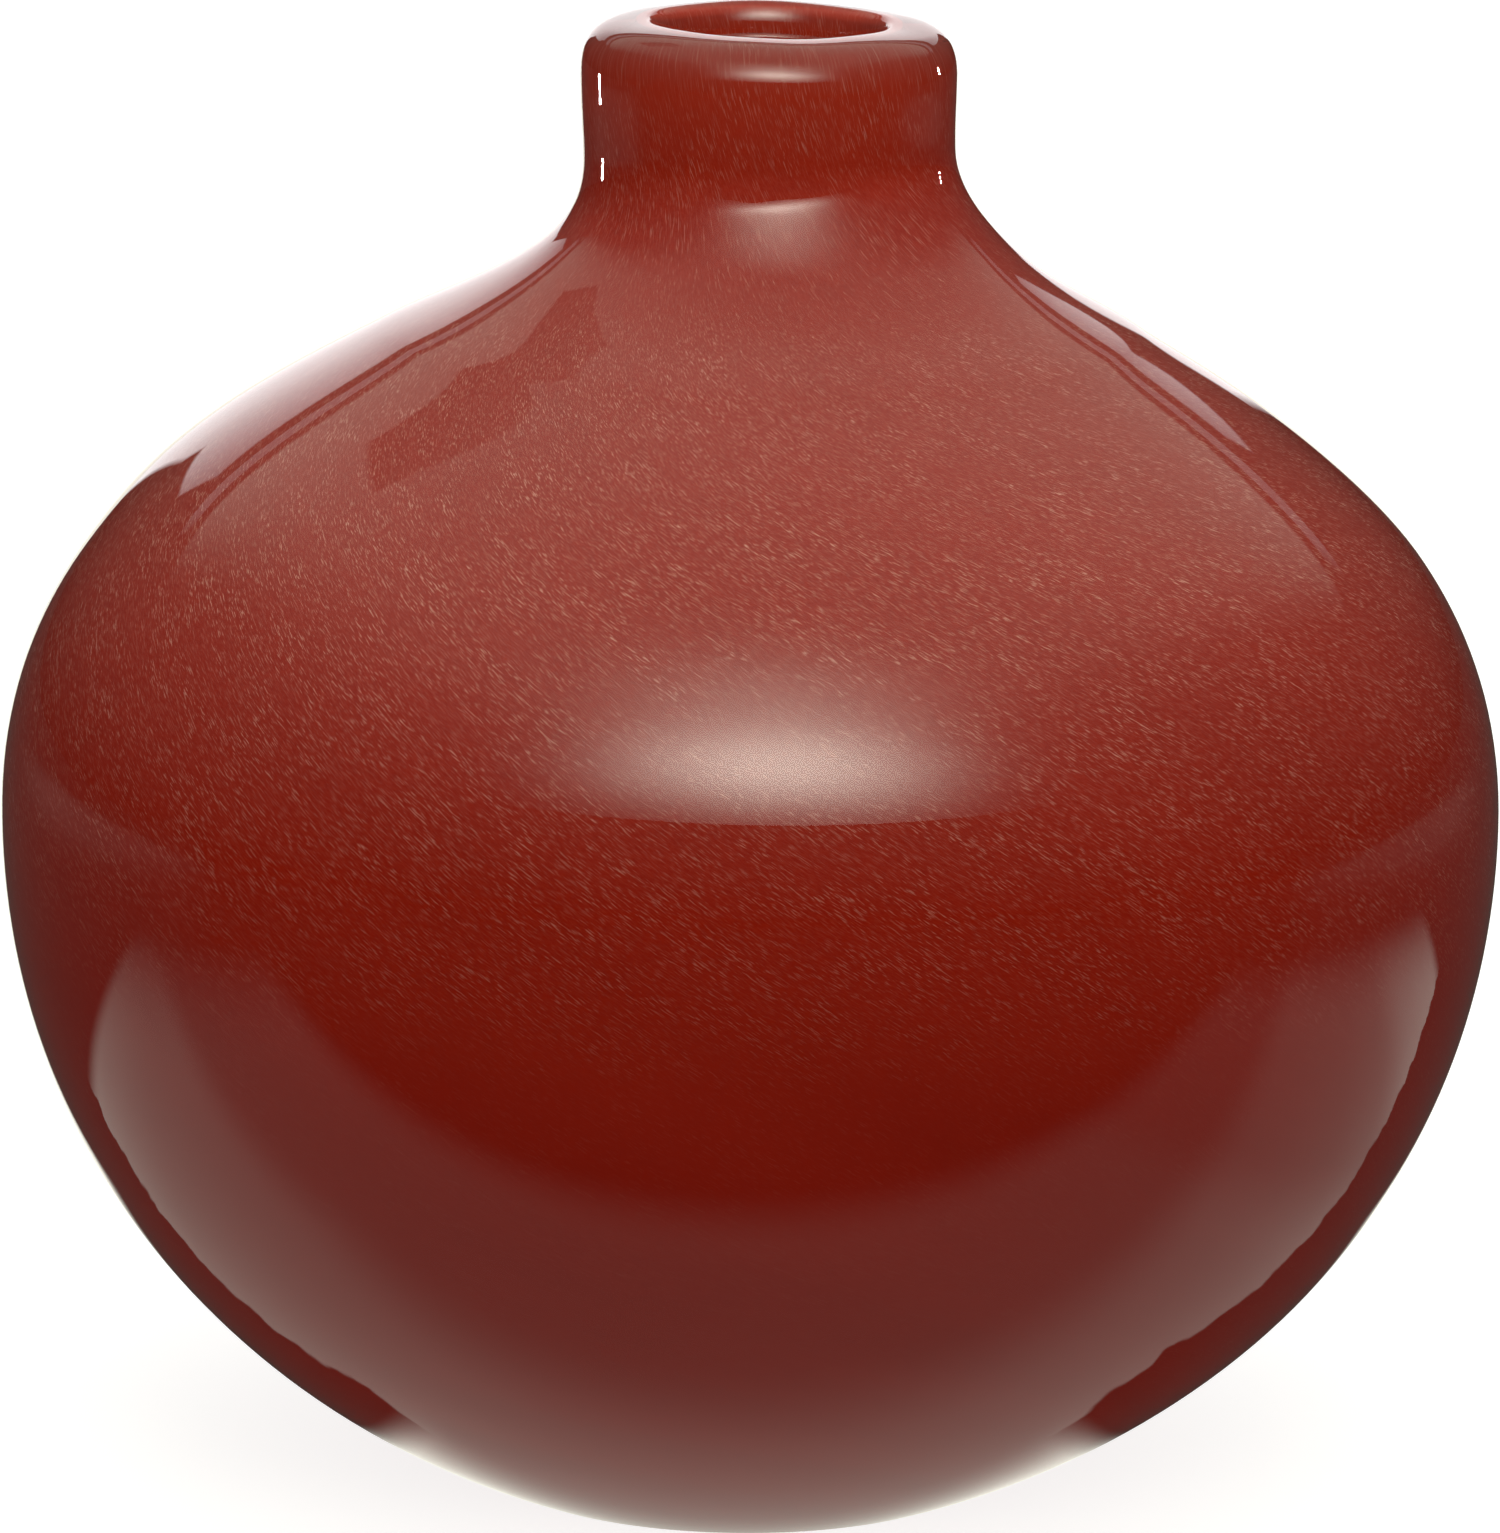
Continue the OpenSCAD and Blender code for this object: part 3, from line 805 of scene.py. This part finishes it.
    path = add(tree, "LightPath")
    rays = {0: path.outputs["Is Camera Ray"], 1: path.outputs["Is Transmission Ray"]}
    seen = add(tree, "Math", rays, operation="MAXIMUM")
    look = add(tree, "MixRGB", {0: seen, 1: backdrop, 2: (1, 1, 1, 1)})
    sky = add(tree, "Background", {"Color": look, "Strength": 1.0})
    add(tree, "OutputWorld", {"Surface": sky})
    return world


bpy.context.scene.world = studio()


def shine(name, kind, power, place, aim):
    """A lamp at a place, turned towards what it lights."""
    lamp = bpy.data.lights.new(name, kind)
    lamp.energy = power
    holder = bpy.data.objects.new(name, lamp)
    holder.location = place
    holder.rotation_euler = (aim - place).to_track_quat("-Z", "Y").to_euler()
    bpy.context.collection.objects.link(holder)
    return holder


# Two upright strip lights from behind graze the neck, each a row of narrow beams: azimuth and middle
# elevation of each strip, the radius of its beams and their steps
NECK_STRIPS = ((-125.5, -6.5, 0.032, (-2, -1, 0, 1)), (127, 1.5, 0.016, (0, 1, 2)))
# Their distance in metres, power in watts, cone and step in degrees, and the share of the cone that fades
BEAM_AWAY, BEAM_POWER, BEAM_CONE, BEAM_STEP, BEAM_FADES = 1.2, 2.5, 4.6, 2.5, 0.6
NECK_MIDDLE = Vector((0, 0, 0.19))
for azimuth, middle, radius, steps in NECK_STRIPS:
    for step in steps:
        from_there = towards(azimuth, middle + BEAM_STEP * step, BEAM_AWAY, NECK_MIDDLE)
        beam = shine("neck_beam", "SPOT", BEAM_POWER, from_there, NECK_MIDDLE)
        beam.data.spot_size = math.radians(BEAM_CONE)
        beam.data.spot_blend = BEAM_FADES
        beam.data.shadow_soft_size = radius

# Soft fills from both sides and from above, which the glass doesn't mirror: azimuth, elevation, distance and
# width in metres, power in watts
FILLS = ((-100, 12, 1.2, 0.5, 2.3), (100, 12, 1.2, 0.5, 2.3), (0, 88, 1.0, 0.8, 2.2))
for azimuth, elevation, away, wide, power in FILLS:
    fill = shine("soft_fill", "AREA", power, towards(azimuth, elevation, away), VASE_MIDDLE)
    fill.data.size = wide
    fill.visible_glossy = False
    fill.visible_transmission = False

# A long lens from slightly above, held a little off level. Lens and sensor in millimetres
CAMERA_AT = Vector((0, -1.2, 0.336))
CAMERA_AIM = Vector((0, 0, 0.0967))
CAMERA_ROLL = math.radians(0.72)
LENS, SENSOR = 214.66, 36
lens = bpy.data.cameras.new("camera")
lens.lens = LENS
lens.sensor_width = SENSOR
camera = bpy.data.objects.new("camera", lens)
bpy.context.collection.objects.link(camera)
look = (CAMERA_AIM - CAMERA_AT).to_track_quat("-Z", "Y").to_matrix()
camera.matrix_world = Matrix.Translation(CAMERA_AT) @ (look @ Matrix.Rotation(CAMERA_ROLL, 3, "Z")).to_4x4()
bpy.context.scene.camera = camera
bpy.context.scene.view_settings.view_transform = "Standard"
